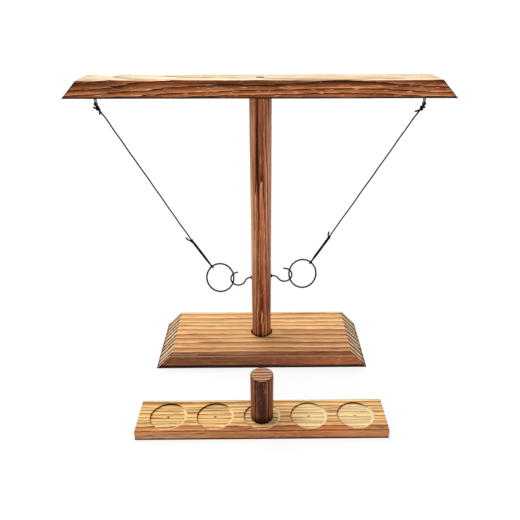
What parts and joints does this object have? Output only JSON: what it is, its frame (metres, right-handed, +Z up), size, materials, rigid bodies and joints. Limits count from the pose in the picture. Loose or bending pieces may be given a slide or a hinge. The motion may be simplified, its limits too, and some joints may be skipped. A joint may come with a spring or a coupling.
{
  "type": "ring toss set",
  "caption": "Table-top ring toss game: a bevelled base and post carry a crossbar with cord-hung rings over screw hooks, with a separate scoring ladder and marker peg.",
  "frame": {"origin": "centre of the base board's underside, below the post's axis", "axes": "+X along the crossbar to the right, +Y to the back, away from the scoring ladder, +Z up the post"},
  "size_m": [0.4, 0.2135, 0.335],
  "materials": {
    "base_wood": "flame-charred pine, brushed, satin oil",
    "post_wood": "flame-charred pine dowel, satin oil",
    "crossbar_wood": "flame-charred pine, brushed, satin oil",
    "ladder_wood": "flame-charred pine, satin oil",
    "peg_wood": "flame-charred pine dowel, satin oil",
    "screw_steel": "dull zinc plate",
    "eye_steel": "zinc plate",
    "hook_steel": "brass-plated wire, satin",
    "ring_steel": "nickel-plated welded wire",
    "cord_black": "twisted waxed cord"
  },
  "bodies": {
    "stand": {"base": "base_wood", "post": "post_wood", "crossbar": "crossbar_wood", "base_screw": "screw_steel", "crossbar_screw": "screw_steel", "eye_screw_left": "eye_steel", "eye_screw_right": "eye_steel", "hook_left": "hook_steel", "hook_right": "hook_steel"},
    "pendulum_left": {"upper_knot_left": "cord_black", "cord_left": "cord_black", "lower_knot_left": "cord_black"},
    "loop_left": {"ring_loop_left": "cord_black"},
    "ring_left": {"ring_left": "ring_steel"},
    "pendulum_right": {"upper_knot_right": "cord_black", "cord_right": "cord_black", "lower_knot_right": "cord_black"},
    "loop_right": {"ring_loop_right": "cord_black"},
    "ring_right": {"ring_right": "ring_steel"},
    "ladder": {"ladder_board": "ladder_wood"},
    "peg": {"ladder_peg": "peg_wood"}
  },
  "joints": [
    {"name": "cord_swing_left", "type": "hinge", "parent": "stand", "child": "pendulum_left", "pos_m": [-0.172, 0, 0.3083], "axis": [0, 1, 0], "range_deg": [0, 90]},
    {"name": "cord_bend_left", "type": "hinge", "parent": "pendulum_left", "child": "loop_left", "pos_m": [-0.0785, 0, 0.1455], "axis": [0, 1, 0], "range_deg": [-6, 1]},
    {"name": "ring_flap_left", "type": "hinge", "parent": "loop_left", "child": "ring_left", "pos_m": [-0.05999, 0.00037, 0.11609], "axis": [0.7266, 0.5778, 0.3718], "range_deg": [0, 60]},
    {"name": "cord_swing_right", "type": "hinge", "parent": "stand", "child": "pendulum_right", "pos_m": [0.172, 0, 0.3083], "axis": [0, -1, 0], "range_deg": [0, 90]},
    {"name": "cord_bend_right", "type": "hinge", "parent": "pendulum_right", "child": "loop_right", "pos_m": [0.0775, 0, 0.1495], "axis": [0, -1, 0], "range_deg": [-6, 1]},
    {"name": "ring_flap_right", "type": "hinge", "parent": "loop_right", "child": "ring_right", "pos_m": [0.06005, 0.00037, 0.12122], "axis": [0.7266, -0.5778, -0.3718], "range_deg": [0, 60]},
    {"name": "ladder_place", "type": "slide", "parent": "stand", "child": "ladder", "axis": [0, -1, 0], "range_m": [0, 0.12]},
    {"name": "peg_lift", "type": "slide", "parent": "ladder", "child": "peg", "axis": [0, 0, 1], "range_m": [0, 0.06]}
  ]
}
